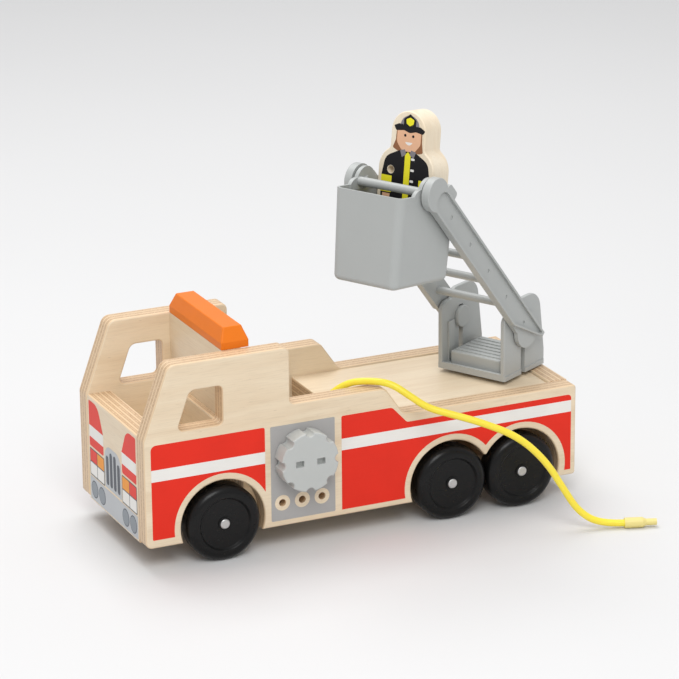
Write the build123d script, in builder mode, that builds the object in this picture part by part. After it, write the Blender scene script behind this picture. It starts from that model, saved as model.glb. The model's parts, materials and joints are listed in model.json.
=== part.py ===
from build123d import *
import os
from math import cos, pi, radians, sin, tan

# A wooden toy fire engine with a swivelling ladder, a hanging bucket and a hose reel.
# +X points forward, +Y to the engine's left and +Z up. All lengths are millimetres.

# ---- chassis: driving dimensions ----
LENGTH = 290.0
NOSE_X = LENGTH / 2  # front face of the cab
MIDDLE_Y = -12.3  # the chassis' centre line, off the origin because the bucket leans left
PLY = 12.8  # half inch plywood
INNER = 41.0  # from the centre line to each side panel's inner face
OUTER = INNER + PLY
BELLY = 14.7  # underside of the chassis
CAB_TOP = 128.2
CAB_BACK = 94.8  # where the cab's side ends, back from the nose
WELL_WALL_TOP = 92.1
TAIL_TOP = 74.0
DECK_TOP = 72.8
EASE = 1.2  # rounding of the panels' edges
BOARD_EASE = 0.8

# ---- running gear ----
AXLE_HEIGHT = 23.75
AXLES_BACK = (49.9, 202.5, 250.9)
AXLE_RADIUS = 3.175  # quarter inch rod
AXLE_END = 57.0
AXLE_EASE = 0.9
WHEEL_RADIUS = 23.75
WHEEL_FACE = 57.5
WHEEL_WIDTH = 14.0
ARCH_RADIUS = 27.3
RUNNING = 0.08  # radial clearance of everything that turns

# ---- hose reel ----
REEL_BACK = 102.6
REEL_HEIGHT = 57.3
SHAFT_RADIUS = 5.0
DRUM_RADIUS = 8.0
WOUND_RADIUS = 13.2
FLANGE_RADIUS = 20.0
FLANGE = 2.0
FLANGE_EASE = 0.6
REEL_RIGHT = 4.0  # the wound hose lies between these two faces
REEL_LEFT = 36.0
GEAR_RADIUS = 18.8
GEAR_THICK = 11.2
GEAR_LOBES = 8
SIDE_GAP = 0.5  # between a turning face and the panel beside it
HOSE_RADIUS = 2.2
PORT_RADIUS = 2.3
PORTS_BACK = (88.8, 101.9, 115.0)
PORT_HEIGHT = 29.8

# ---- ladder turret ----
TURRET_BACK = 258.5
TURRET_YAW = 29.0  # the ladder's heading, turned left from straight ahead
TURRET_FLOOR = 75.5
TURN_GAP = 0.1
CHEEK_FACE = 25.0
CHEEK = 3.0
BASE_FRONT = 23.8
BASE_REAR = 22.0
BASE_HALF = 25.5
LADDER_PIVOT_AHEAD = 2.6  # of the turret's centre
LADDER_PIVOT_UP = 29.4  # above the turret's floor
LIFT = 47.8  # the ladder's angle above level
LADDER_REACH = 151.6  # from the lower pivot to the bucket's pivot
PIVOT_PIN_RADIUS = 4.0
RAIL_IN = 25.8
RAIL_OUT = 31.0
RAIL_HALF = 8.3
RUNG_RADIUS = 2.5
RUNG_FIRST = 28.9
RUNG_STEP = 26.8
RUNG_COUNT = 3  # none in the stretch that the bucket swings through

# ---- bucket and rider ----
BUCKET_TILT = 7.3  # its floor has swung forward by this angle
BUCKET_DEPTH = 56.5
WALL = 1.6
RIM_UP = -0.4  # the rim, measured up from the pivot
PIN_RADIUS = 3.0
RIDER_TALL = 100.0
RIDER_WIDE = 40.0
RIDER_THICK = 17.0


def side_plane(left):
    """Upright plane facing left: local x runs back from the nose, local y is height."""
    return Plane(origin=(NOSE_X, MIDDLE_Y + left, 0), x_dir=(-1, 0, 0), z_dir=(0, 1, 0))


def level_plane(height):
    """Level plane facing up: local x runs back from the nose, local y to the right."""
    return Plane(origin=(NOSE_X, MIDDLE_Y, height), x_dir=(-1, 0, 0), z_dir=(0, 0, 1))


def place(back, left, height):
    """A point given back from the nose, left of the centre line and above the floor."""
    return Vector(NOSE_X - back, MIDDLE_Y + left, height)


def across(back, height):
    """Axis that runs to the left through a point of the side view."""
    return Axis(place(back, 0, height), (0, 1, 0))


def radial_plane(back, height):
    """Plane through an across axis: local x is the radius and local y runs left."""
    return Plane(origin=place(back, 0, height), x_dir=(1, 0, 0), z_dir=(0, 0, 1))


def finish(piece, label):
    """Name a finished piece and write it out."""
    piece.part.label = label
    export_step(piece.part, f"parts/{label}.step")


os.makedirs("parts", exist_ok=True)

# ---- side panels ----
PANEL_OUTLINE = [
    (0, BELLY),
    (0, 82.7),
    (16.6, CAB_TOP),
    (CAB_BACK, CAB_TOP),
    (CAB_BACK, WELL_WALL_TOP),
    (158.1, WELL_WALL_TOP),
    (170.6, TAIL_TOP),
    (LENGTH, TAIL_TOP),
    (LENGTH, BELLY),
]
PANEL_CORNERS = [4, 6, 6, 4, 3, 5, 5, 2, 2]
WINDOW_OUTLINE = [(21.4, 86.2), (30.3, 110.7), (51, 110.7), (51, 86.2)]
WINDOW_CORNERS = [3, 5, 3, 3]
CUSP_ROUNDING = 1.5

# ---- hidden dowels that join the boards to the panels, as (back, height) ----
DOWEL_RADIUS = 3.0
DOWEL_IN_BOARD = 12.0
DOWEL_IN_PANEL = 7.0
FRONT_BOARD_DOWELS = [(8.5, 28), (8.5, 70)]
BACK_BOARD_DOWELS = [(62.4, 64), (62.4, 112)]
DECK_DOWELS = [(152, 66.4), (212, 66.4), (264, 66.4)]
TAIL_DOWELS = [(283.6, 26), (283.6, 58)]
DOWEL_SPOTS = FRONT_BOARD_DOWELS + BACK_BOARD_DOWELS + DECK_DOWELS + TAIL_DOWELS


def side_panel(outer_face, inner_face):
    """One plywood side, from its right-hand face at min() to its left-hand face at max()."""
    into_panel = DOWEL_IN_PANEL if outer_face > inner_face else -DOWEL_IN_PANEL
    with BuildPart() as panel:
        with BuildSketch(side_plane(min(outer_face, inner_face))) as outline:
            with BuildLine():
                FilletPolyline(*PANEL_OUTLINE, radius=PANEL_CORNERS, close=True)
            make_face()
            with Locations(*[(back, AXLE_HEIGHT) for back in AXLES_BACK]):
                Circle(ARCH_RADIUS, mode=Mode.SUBTRACT)
            between_rear_arches = ((AXLES_BACK[1] + AXLES_BACK[2]) / 2, AXLE_HEIGHT + ARCH_RADIUS / 2)
            cusp = outline.vertices().sort_by_distance(between_rear_arches)[0]
            fillet(cusp, CUSP_ROUNDING)
            with BuildLine():
                FilletPolyline(*WINDOW_OUTLINE, radius=WINDOW_CORNERS, close=True)
            make_face(mode=Mode.SUBTRACT)
        extrude(amount=PLY)
        fillet(panel.faces().filter_by(Axis.Y).edges(), EASE)
        with BuildSketch(side_plane(min(outer_face, inner_face))):
            with Locations((REEL_BACK, REEL_HEIGHT)):
                Circle(SHAFT_RADIUS + RUNNING)
            with Locations(*[(back, PORT_HEIGHT) for back in PORTS_BACK]):
                Circle(PORT_RADIUS)
        extrude(amount=PLY, mode=Mode.SUBTRACT)
        with BuildSketch(side_plane(inner_face)):
            with Locations(*DOWEL_SPOTS):
                Circle(DOWEL_RADIUS)
        extrude(amount=into_panel, mode=Mode.SUBTRACT)
    return panel


finish(side_panel(OUTER, INNER), "left_side_panel")
finish(side_panel(-OUTER, -INNER), "right_side_panel")


# ---- boards across the chassis ----
def board(front, back, bottom, top, dowels=()):
    """A board between the panels, its long edges eased, with blind dowel holes in its ends."""
    with BuildPart() as plank:
        with BuildSketch(side_plane(-INNER)):
            with Locations(((front + back) / 2, (bottom + top) / 2)):
                Rectangle(back - front, top - bottom)
        extrude(amount=2 * INNER)
        fillet(plank.edges().filter_by(Axis.Y), BOARD_EASE)
        for face, inwards in ((-INNER, DOWEL_IN_BOARD), (INNER, -DOWEL_IN_BOARD)):
            for spot in dowels:
                with BuildSketch(side_plane(face)):
                    with Locations(spot):
                        Circle(DOWEL_RADIUS)
                extrude(amount=inwards, mode=Mode.SUBTRACT)
    return plank


CAB_FLOOR_TOP = 58.0
DECK_FRONT = 137.8
BLOCK_TOP = 33.0
FRONT_BLOCK = (35.9, 63.9)
REAR_BLOCK = (188.0, 265.0)
TAIL_FRONT = LENGTH - PLY
finish(board(0.5, 16.5, BELLY, 83.0, FRONT_BOARD_DOWELS), "front_board")
finish(board(16.5, 51.2, CAB_FLOOR_TOP - 6, CAB_FLOOR_TOP), "cab_floor")
finish(board(51.2, 56.0, BLOCK_TOP, 85.0), "cab_partition")
finish(board(56.0, 56.0 + PLY, BLOCK_TOP, CAB_TOP, BACK_BOARD_DOWELS), "cab_back_board")
finish(board(TAIL_FRONT, LENGTH, BELLY, TAIL_TOP, TAIL_DOWELS), "tail_board")
finish(board(68.8, REAR_BLOCK[0], BELLY, BELLY + 5), "floor_board")

BOLT_RADIUS = 2.5
with BuildPart() as deck_board:
    add(board(DECK_FRONT, TAIL_FRONT, DECK_TOP - PLY, DECK_TOP, DECK_DOWELS).part)
    with BuildSketch(level_plane(DECK_TOP)):
        with Locations((TURRET_BACK, 0)):
            Circle(BOLT_RADIUS)
    extrude(amount=-PLY, mode=Mode.SUBTRACT)
finish(deck_board, "deck_board")


def axle_block(front, back, axles_back):
    """A solid block between the panels, bored through for the axles that turn in it."""
    with BuildPart() as block:
        add(board(front, back, BELLY, BLOCK_TOP).part)
        with BuildSketch(side_plane(-INNER)):
            with Locations(*[(axle_back, AXLE_HEIGHT) for axle_back in axles_back]):
                Circle(AXLE_RADIUS + RUNNING)
        extrude(amount=2 * INNER, mode=Mode.SUBTRACT)
    return block


finish(axle_block(*FRONT_BLOCK, AXLES_BACK[:1]), "front_axle_block")
finish(axle_block(*REAR_BLOCK, AXLES_BACK[1:]), "rear_axle_block")

with BuildPart() as panel_dowels:
    for inner_end in (INNER - DOWEL_IN_BOARD, -INNER - DOWEL_IN_PANEL):
        with BuildSketch(side_plane(inner_end)):
            with Locations(*DOWEL_SPOTS):
                Circle(DOWEL_RADIUS)
        extrude(amount=DOWEL_IN_BOARD + DOWEL_IN_PANEL)
finish(panel_dowels, "panel_dowels")

# ---- light bar: a low block with a hipped top ----
BAR_CENTRE = 65.0
BAR_BASE = (18.0, 82.4)
BAR_CREST = (12.0, 74.0)
BAR_UPRIGHT = 4.3
BAR_TALL = 12.8
BAR_EASE = 0.9
with BuildPart() as light_bar:
    with BuildSketch(level_plane(CAB_TOP)):
        with Locations((BAR_CENTRE, 0)):
            Rectangle(*BAR_BASE)
    extrude(amount=BAR_UPRIGHT)
    with BuildSketch(level_plane(CAB_TOP + BAR_UPRIGHT)):
        with Locations((BAR_CENTRE, 0)):
            Rectangle(*BAR_BASE)
    with BuildSketch(level_plane(CAB_TOP + BAR_TALL)):
        with Locations((BAR_CENTRE, 0)):
            Rectangle(*BAR_CREST)
    loft()
    fillet(light_bar.edges().filter_by(lambda edge: edge.center().Z > CAB_TOP + 1), BAR_EASE)
finish(light_bar, "light_bar")


# ---- axles and wheels ----
def axle(back):
    """A steel rod with slightly domed ends."""
    with BuildPart() as rod:
        with BuildSketch(side_plane(-AXLE_END)):
            with Locations((back, AXLE_HEIGHT)):
                Circle(AXLE_RADIUS)
        extrude(amount=2 * AXLE_END)
        fillet(rod.faces().filter_by(Axis.Y).edges(), AXLE_EASE)
    return rod


HUB_RADIUS = 8.0
HUB_INSIDE = 41.5
RECESS_RADIUS = 15.6
RECESS_SLOPE = 1.2
RECESS_FLOOR = WHEEL_FACE - 1.6
CAP_RADIUS = 4.3
CAP_STAND = 0.7  # the cap ring, proud of the recess


def wheel(back, side):
    """A moulded wheel: rounded shoulder, sunk disc, cap ring, and a hub that spaces it off."""
    inner_face = WHEEL_FACE - WHEEL_WIDTH
    profile = [
        (AXLE_RADIUS, side * HUB_INSIDE),
        (HUB_RADIUS, side * HUB_INSIDE),
        (HUB_RADIUS, side * inner_face),
        (WHEEL_RADIUS, side * inner_face),
        (WHEEL_RADIUS, side * WHEEL_FACE),
        (RECESS_RADIUS + RECESS_SLOPE, side * WHEEL_FACE),
        (RECESS_RADIUS, side * RECESS_FLOOR),
        (CAP_RADIUS, side * RECESS_FLOOR),
        (CAP_RADIUS, side * (RECESS_FLOOR + CAP_STAND)),
        (AXLE_RADIUS, side * (RECESS_FLOOR + CAP_STAND)),
    ]
    rounding = [0, 0.8, 0, 1.5, 5.0, 0.5, 0.4, 0, 0.3, 0]
    with BuildPart() as disc:
        with BuildSketch(radial_plane(back, AXLE_HEIGHT)):
            with BuildLine():
                FilletPolyline(*profile, radius=rounding, close=True)
            make_face()
        revolve(axis=across(back, AXLE_HEIGHT))
    return disc


for axle_name, axle_back in zip(("front", "middle", "rear"), AXLES_BACK):
    finish(axle(axle_back), f"{axle_name}_axle")
    finish(wheel(axle_back, 1), f"{axle_name}_left_wheel")
    finish(wheel(axle_back, -1), f"{axle_name}_right_wheel")


# ---- hose reel ----
def reel_ring(outer_radius, inner_radius, right, left):
    """A plain ring on the reel's shaft, between two faces given left of the centre line."""
    with BuildPart() as ring:
        with BuildSketch(side_plane(right)):
            with Locations((REEL_BACK, REEL_HEIGHT)):
                Circle(outer_radius)
                Circle(inner_radius, mode=Mode.SUBTRACT)
        extrude(amount=left - right)
    return ring


SHAFT_LEFT = OUTER + SIDE_GAP + 8.0
SHAFT_RIGHT = -(OUTER + SIDE_GAP + 5.7)
CAP_THICK = 7.0
CAP_OUTER_RADIUS = 11.0
CAP_EASE = 2.0
with BuildPart() as reel_shaft:
    with BuildSketch(side_plane(SHAFT_RIGHT)):
        with Locations((REEL_BACK, REEL_HEIGHT)):
            Circle(SHAFT_RADIUS)
    extrude(amount=SHAFT_LEFT - SHAFT_RIGHT)
finish(reel_shaft, "reel_shaft")
finish(reel_ring(DRUM_RADIUS, SHAFT_RADIUS, REEL_RIGHT, REEL_LEFT), "reel_drum")
for flange_name, flange_right in (("right", REEL_RIGHT - FLANGE), ("left", REEL_LEFT)):
    with BuildPart() as reel_flange:
        add(reel_ring(FLANGE_RADIUS, SHAFT_RADIUS, flange_right, flange_right + FLANGE).part)
        fillet(reel_flange.edges().filter_by(GeomType.CIRCLE).group_by(SortBy.RADIUS)[-1], FLANGE_EASE)
    finish(reel_flange, f"reel_{flange_name}_flange")
finish(reel_ring(WOUND_RADIUS, DRUM_RADIUS, REEL_RIGHT, REEL_LEFT), "wound_hose")

NOTCH_RADIUS = 2.8
NOTCH_OUT = 0.5  # the notches' centres, beyond the gear's rim
NOTCH_ROUND = 1.0
GEAR_EASE = 0.9
SLOT_OFFSET = 7.0
SLOT_SIZE = (5.5, 4.0)
SLOT_CORNER = 0.6
SLOT_DEPTH = 3.0
GEAR_INSIDE = OUTER + SIDE_GAP
with BuildPart() as crank_gear:
    with BuildSketch(side_plane(GEAR_INSIDE)) as gear_outline:
        with Locations((REEL_BACK, REEL_HEIGHT)):
            Circle(GEAR_RADIUS)
            with PolarLocations(GEAR_RADIUS + NOTCH_OUT, GEAR_LOBES):
                Circle(NOTCH_RADIUS, mode=Mode.SUBTRACT)
        fillet(gear_outline.vertices().group_by(SortBy.DISTANCE)[-1], NOTCH_ROUND)
    extrude(amount=GEAR_THICK)
    fillet(crank_gear.faces().sort_by(Axis.Y)[-1].edges(), GEAR_EASE)
    with BuildSketch(side_plane(GEAR_INSIDE + GEAR_THICK)):
        with Locations((REEL_BACK - SLOT_OFFSET, REEL_HEIGHT), (REEL_BACK + SLOT_OFFSET, REEL_HEIGHT)):
            RectangleRounded(*SLOT_SIZE, SLOT_CORNER)
    extrude(amount=-SLOT_DEPTH, mode=Mode.SUBTRACT)
    with BuildSketch(side_plane(GEAR_INSIDE)):
        with Locations((REEL_BACK, REEL_HEIGHT)):
            Circle(SHAFT_RADIUS)
    extrude(amount=SHAFT_LEFT - GEAR_INSIDE, mode=Mode.SUBTRACT)
finish(crank_gear, "crank_gear")

with BuildPart() as reel_end_cap:
    with BuildSketch(side_plane(-GEAR_INSIDE)):
        with Locations((REEL_BACK, REEL_HEIGHT)):
            Circle(CAP_OUTER_RADIUS)
    extrude(amount=-CAP_THICK)
    fillet(reel_end_cap.faces().sort_by(Axis.Y)[0].edges(), CAP_EASE)
    with BuildSketch(side_plane(-GEAR_INSIDE)):
        with Locations((REEL_BACK, REEL_HEIGHT)):
            Circle(SHAFT_RADIUS)
    extrude(amount=SHAFT_RIGHT + GEAR_INSIDE, mode=Mode.SUBTRACT)
finish(reel_end_cap, "reel_end_cap")

# ---- turret: its planes are turned to the ladder's heading ----
yaw = radians(TURRET_YAW)
lift = radians(LIFT)
tilt = radians(BUCKET_TILT)
heading = Vector(cos(yaw), sin(yaw), 0)
leftwards = Vector(-sin(yaw), cos(yaw), 0)
upwards = Vector(0, 0, 1)
turret_centre = place(TURRET_BACK, 0, TURRET_FLOOR)
ladder_pivot = turret_centre + heading * LADDER_PIVOT_AHEAD + upwards * LADDER_PIVOT_UP
ladder_line = heading * cos(lift) + upwards * sin(lift)
bucket_pivot = ladder_pivot + ladder_line * LADDER_REACH
bucket_forward = heading * cos(tilt) + upwards * sin(tilt)
bucket_up = upwards * cos(tilt) - heading * sin(tilt)


def turret_level(up):
    """Level plane of the turret: local x is forward along its heading, local y is left."""
    return Plane(origin=turret_centre + upwards * up, x_dir=heading, z_dir=upwards)


def turret_side(left):
    """Upright plane of the turret facing right: local x is forward and local y is up."""
    return Plane(origin=turret_centre + leftwards * left, x_dir=heading, z_dir=-leftwards)


def ladder_side(left):
    """Plane of a ladder rail facing right: local x runs up the ladder from its pivot."""
    return Plane(origin=ladder_pivot + leftwards * left, x_dir=ladder_line, z_dir=-leftwards)


def bucket_side(left):
    """Plane of the bucket's side facing right, its origin on the bucket's pivot."""
    return Plane(origin=bucket_pivot + leftwards * left, x_dir=bucket_forward, z_dir=-leftwards)


def bucket_level(up):
    """Plane across the bucket: local x is forward and local y is left."""
    return Plane(origin=bucket_pivot + bucket_up * up, x_dir=bucket_forward, z_dir=bucket_up)


def bucket_front(forward):
    """Plane across the bucket facing forward: local x is left and local y is up."""
    return Plane(origin=bucket_pivot + bucket_forward * forward, x_dir=leftwards, z_dir=bucket_forward)


TURNTABLE_RADIUS = 18.0
with BuildPart() as turntable_disc:
    with BuildSketch(level_plane(DECK_TOP)):
        with Locations((TURRET_BACK, 0)):
            Circle(TURNTABLE_RADIUS)
            Circle(BOLT_RADIUS, mode=Mode.SUBTRACT)
    extrude(amount=TURRET_FLOOR - TURN_GAP - DECK_TOP)
finish(turntable_disc, "turntable_disc")

BASE_THICK = 3.0
HEAD_RADIUS = 4.5
HEAD_THICK = 2.5
NUT_RADIUS = 4.6
NUT_THICK = 4.0
HEAD_EASE = 1.0
BOLT_PAST_NUT = 2.0
with BuildPart() as turret_bolt:
    with BuildSketch(turret_level(BASE_THICK + TURN_GAP)):
        Circle(HEAD_RADIUS)
    extrude(amount=HEAD_THICK)
    fillet(turret_bolt.faces().sort_by(Axis.Z)[-1].edges(), HEAD_EASE)
    bolt_down = TURRET_FLOOR + BASE_THICK + TURN_GAP - (DECK_TOP - PLY - NUT_THICK - BOLT_PAST_NUT)
    with BuildSketch(turret_level(BASE_THICK + TURN_GAP)):
        Circle(BOLT_RADIUS)
    extrude(amount=-bolt_down)
finish(turret_bolt, "turret_bolt")

with BuildPart() as turret_nut:
    with BuildSketch(level_plane(DECK_TOP - PLY)):
        with Locations((TURRET_BACK, 0)):
            RegularPolygon(NUT_RADIUS, 6)
            Circle(BOLT_RADIUS, mode=Mode.SUBTRACT)
    extrude(amount=-NUT_THICK)
finish(turret_nut, "turret_nut")

DOME_TOP = 50.0
SHOULDER_TOP = 43.3
CHEEK_OUTLINE = [
    (BASE_FRONT, 0),
    (BASE_FRONT, SHOULDER_TOP),
    (12.5, SHOULDER_TOP),
    (11.5, DOME_TOP),
    (-16.0, DOME_TOP),
    (-BASE_REAR, 10.0),
    (-BASE_REAR, 0),
]
CHEEK_CORNERS = [0, 6.5, 1.0, 5.5, 12.0, 4.0, 0]
CHEEK_EASE = 0.7
SLIT_WIDE = 4.4
SLIT_TOP = 37.0


def cheek(right_face):
    """One upright cheek with eased edges: a shoulder in front and a dome over the ladder's pivot."""
    with BuildPart() as plate:
        with BuildSketch(turret_side(right_face + CHEEK)):
            with BuildLine():
                FilletPolyline(*CHEEK_OUTLINE, radius=CHEEK_CORNERS, close=True)
            make_face()
        extrude(amount=CHEEK)
        raised = plate.edges().filter_by(lambda edge: edge.center().Z > TURRET_FLOOR + 1)
        fillet(raised.filter_by(lambda edge: abs(edge.tangent_at(0).dot(leftwards)) < 0.9), CHEEK_EASE)
    return plate


BASE_CORNER = 1.5
SILL = 2.0
SILL_UP = 1.2
RIB = (11.5, 17.5)  # a stiffening rib inside each cheek, by how far ahead of the centre it is
RIB_TOP = 29.5
RIB_THICK = 1.2
with BuildPart() as turret_base:
    with BuildSketch(turret_level(0)):
        with Locations(((BASE_FRONT - BASE_REAR) / 2, 0)):
            RectangleRounded(BASE_FRONT + BASE_REAR, 2 * BASE_HALF, BASE_CORNER)
        Circle(BOLT_RADIUS + RUNNING, mode=Mode.SUBTRACT)
    extrude(amount=BASE_THICK)
    for sill_at in (BASE_FRONT - SILL / 2, SILL / 2 - BASE_REAR):
        with BuildSketch(turret_level(BASE_THICK)):
            with Locations((sill_at, 0)):
                Rectangle(SILL, 2 * (CHEEK_FACE - CHEEK / 2))
        extrude(amount=SILL_UP)
    for cheek_right in (-CHEEK_FACE, CHEEK_FACE - CHEEK):
        add(cheek(cheek_right).part)
    for rib_left in (CHEEK_FACE - CHEEK, CHEEK - CHEEK_FACE + RIB_THICK):
        with BuildSketch(turret_side(rib_left)):
            with Locations((sum(RIB) / 2, (BASE_THICK + RIB_TOP) / 2)):
                Rectangle(RIB[1] - RIB[0], RIB_TOP - BASE_THICK)
        extrude(amount=RIB_THICK)
    with BuildSketch(turret_side(BASE_HALF)):
        with Locations((LADDER_PIVOT_AHEAD, SLIT_TOP / 2)):
            Rectangle(SLIT_WIDE, SLIT_TOP)
        with Locations((LADDER_PIVOT_AHEAD, LADDER_PIVOT_UP)):
            Circle(PIVOT_PIN_RADIUS + RUNNING)
    extrude(amount=BASE_HALF - CHEEK_FACE + CHEEK, mode=Mode.SUBTRACT)
    with BuildSketch(turret_side(CHEEK - CHEEK_FACE)):
        with Locations((LADDER_PIVOT_AHEAD, SLIT_TOP / 2)):
            Rectangle(SLIT_WIDE, SLIT_TOP)
        with Locations((LADDER_PIVOT_AHEAD, LADDER_PIVOT_UP)):
            Circle(PIVOT_PIN_RADIUS + RUNNING)
    extrude(amount=BASE_HALF - CHEEK_FACE + CHEEK, mode=Mode.SUBTRACT)
finish(turret_base, "turret_base")

STEP_FRONT = 19.0
STEP_REAR = 16.0
STEP_HALF = 19.0
STEP_TOP = 11.3
STEP_EASE = 1.2
STEP_CORNER = 1.5
STEP_UNDERCUT = 1.5  # room over and around the bolt's head
RIDGES = 6
RIDGE_UP = 0.5
RIDGE_MARGIN = 2.0
RIDGE_SHARE = 0.6  # of each pitch; the rest is the groove
with BuildPart() as turret_step:
    with BuildSketch(turret_level(BASE_THICK)):
        with Locations(((STEP_FRONT - STEP_REAR) / 2, 0)):
            RectangleRounded(STEP_FRONT + STEP_REAR, 2 * STEP_HALF, STEP_CORNER)
    extrude(amount=STEP_TOP - BASE_THICK)
    fillet(turret_step.faces().sort_by(Axis.Z)[-1].edges(), STEP_EASE)
    ridge_pitch = (STEP_FRONT + STEP_REAR - 2 * RIDGE_MARGIN) / RIDGES
    for ridge in range(RIDGES):
        ridge_at = RIDGE_MARGIN - STEP_REAR + ridge_pitch * (ridge + 0.5)
        with BuildSketch(turret_level(STEP_TOP)):
            with Locations((ridge_at, 0)):
                Rectangle(ridge_pitch * RIDGE_SHARE, 2 * (STEP_HALF - RIDGE_MARGIN))
        extrude(amount=RIDGE_UP)
    with BuildSketch(turret_level(BASE_THICK)):
        Circle(HEAD_RADIUS + STEP_UNDERCUT)
    extrude(amount=HEAD_THICK + STEP_UNDERCUT, mode=Mode.SUBTRACT)
finish(turret_step, "turret_step")

# ---- ladder ----
RAIL_THICK = RAIL_OUT - RAIL_IN
INNER_LAYER = 2.8  # of the rail's thickness; the foot disc is only this thick
FOOT_RADIUS = 11.5
HEAD_END_RADIUS = 10.5
JOIN_ROUND = 2.5
RAIL_EASE = 0.6
RAIL_POINT = -15.2  # the outer layer's pointed lower end, past the pivot
POINT_CUT = 4.8
SLANT_START = 18.5
RIM = 1.7
WEB_SINK = 1.9
WEB_POINT = RAIL_POINT + 2.7
WEB_CORNER = 0.4
WEB_TURN = RAIL_HALF - RIM - 0.2  # nearly a half circle at the web's upper end
WEB_BEND = 0.8
WEB_END = LADDER_REACH - 1.5
DIMPLE_FIRST = 8.6
DIMPLE_STEP = 29.7
DIMPLE_RADIUS = 1.3
DIMPLE_SINK = 0.5
DIMPLES = 5
LUG_UP = LADDER_REACH - 11.5
LUG_SIZE = (11.0, 9.0)
LUG_ROUND = 2.2
PIN_DEEP = 2.2


def rail_inner_layer(side):
    """The layer beside the cheek: a bar with a round foot over the pivot and a round head."""
    with BuildPart() as layer:
        with BuildSketch(ladder_side(side * (RAIL_IN + INNER_LAYER))) as outline:
            with Locations((LADDER_REACH / 2, 0)):
                Rectangle(LADDER_REACH, 2 * RAIL_HALF)
            Circle(FOOT_RADIUS)
            with Locations((LADDER_REACH, 0)):
                Circle(HEAD_END_RADIUS)
            fillet(outline.vertices(), JOIN_ROUND)
        extrude(amount=side * INNER_LAYER)
    return layer


def rail_outer_layer(side):
    """The layer outside: it ends in a slanted point below, and its web is sunk within a rim."""
    web_half = RAIL_HALF - RIM
    with BuildPart() as layer:
        with BuildSketch(ladder_side(side * RAIL_OUT)) as outline:
            with BuildLine():
                Polyline(
                    (RAIL_POINT, RAIL_HALF),
                    (LADDER_REACH, RAIL_HALF),
                    (LADDER_REACH, -RAIL_HALF),
                    (SLANT_START, -RAIL_HALF),
                    (RAIL_POINT, POINT_CUT),
                    close=True,
                )
            make_face()
            with Locations((LADDER_REACH, 0)):
                Circle(HEAD_END_RADIUS)
            fillet(outline.vertices().sort_by(Axis.X)[-2:], JOIN_ROUND)
        extrude(amount=side * (RAIL_THICK - INNER_LAYER))
        faces_outward = layer.faces().sort_by(Axis(ladder_pivot, leftwards * side))
        fillet(faces_outward[-1].edges(), RAIL_EASE)
        with BuildSketch(ladder_side(side * RAIL_OUT)):
            with BuildLine():
                FilletPolyline(
                    (WEB_POINT, web_half),
                    (WEB_END, web_half),
                    (WEB_END, -web_half),
                    (SLANT_START, -web_half),
                    (WEB_POINT, POINT_CUT + WEB_CORNER),
                    radius=[WEB_CORNER, WEB_TURN, WEB_TURN, WEB_BEND, WEB_CORNER],
                    close=True,
                )
            make_face()
        extrude(amount=side * WEB_SINK, mode=Mode.SUBTRACT)
    return layer


def ladder_rail(side):
    """One rail of the ladder, with the lug on its upper edge and the two pins' sockets."""
    with BuildPart() as rail:
        add(rail_inner_layer(side).part)
        add(rail_outer_layer(side).part)
        with BuildSketch(ladder_side(side * RAIL_OUT)):
            for dimple in range(DIMPLES):
                with Locations((DIMPLE_FIRST + DIMPLE_STEP * dimple, 0)):
                    Circle(DIMPLE_RADIUS)
        extrude(amount=side * (WEB_SINK + DIMPLE_SINK), mode=Mode.SUBTRACT)
        with BuildSketch(ladder_side(side * (RAIL_OUT - RAIL_EASE))):
            with Locations((LUG_UP, RAIL_HALF)):
                RectangleRounded(*LUG_SIZE, LUG_ROUND)
            with Locations((LUG_UP, 0)):
                Rectangle(2 * LUG_SIZE[0], 2 * (RAIL_HALF - RIM / 2), mode=Mode.SUBTRACT)
        extrude(amount=side * (RAIL_THICK - 2 * RAIL_EASE))
        for socket_at, socket_radius in ((0, PIVOT_PIN_RADIUS), (LADDER_REACH, PIN_RADIUS)):
            with BuildSketch(ladder_side(side * RAIL_IN)):
                with Locations((socket_at, 0)):
                    Circle(socket_radius)
            extrude(amount=-side * PIN_DEEP, mode=Mode.SUBTRACT)
    return rail


finish(ladder_rail(1), "ladder_left_rail")
finish(ladder_rail(-1), "ladder_right_rail")

with BuildPart() as ladder_rungs:
    for rung in range(RUNG_COUNT):
        with BuildSketch(ladder_side(RAIL_IN)):
            with Locations((RUNG_FIRST + RUNG_STEP * rung, 0)):
                Circle(RUNG_RADIUS)
        extrude(amount=2 * RAIL_IN)
finish(ladder_rungs, "ladder_rungs")

PIVOT_HEAD_RADIUS = 7.0
PIVOT_HEAD_THICK = 2.4
PIVOT_HEAD_GAP = 0.2
PIVOT_HEAD_EASE = 0.8
with BuildPart() as ladder_pivot_pins:
    for side in (-1, 1):
        head_face = side * (CHEEK_FACE - CHEEK - PIVOT_HEAD_GAP)
        with BuildSketch(turret_side(head_face)):
            with Locations((LADDER_PIVOT_AHEAD, LADDER_PIVOT_UP)):
                Circle(PIVOT_HEAD_RADIUS)
        extrude(amount=side * PIVOT_HEAD_THICK)
        with BuildSketch(turret_side(head_face)):
            with Locations((LADDER_PIVOT_AHEAD, LADDER_PIVOT_UP)):
                Circle(PIVOT_PIN_RADIUS)
        extrude(amount=-side * (RAIL_IN + PIN_DEEP - abs(head_face)))
    heads = ladder_pivot_pins.faces().filter_by(GeomType.PLANE)
    nearest = heads.sort_by(lambda face: abs((face.center() - turret_centre).dot(leftwards)))
    fillet([edge for face in nearest[:2] for edge in face.edges()], PIVOT_HEAD_EASE)
finish(ladder_pivot_pins, "ladder_pivot_pins")

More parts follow.
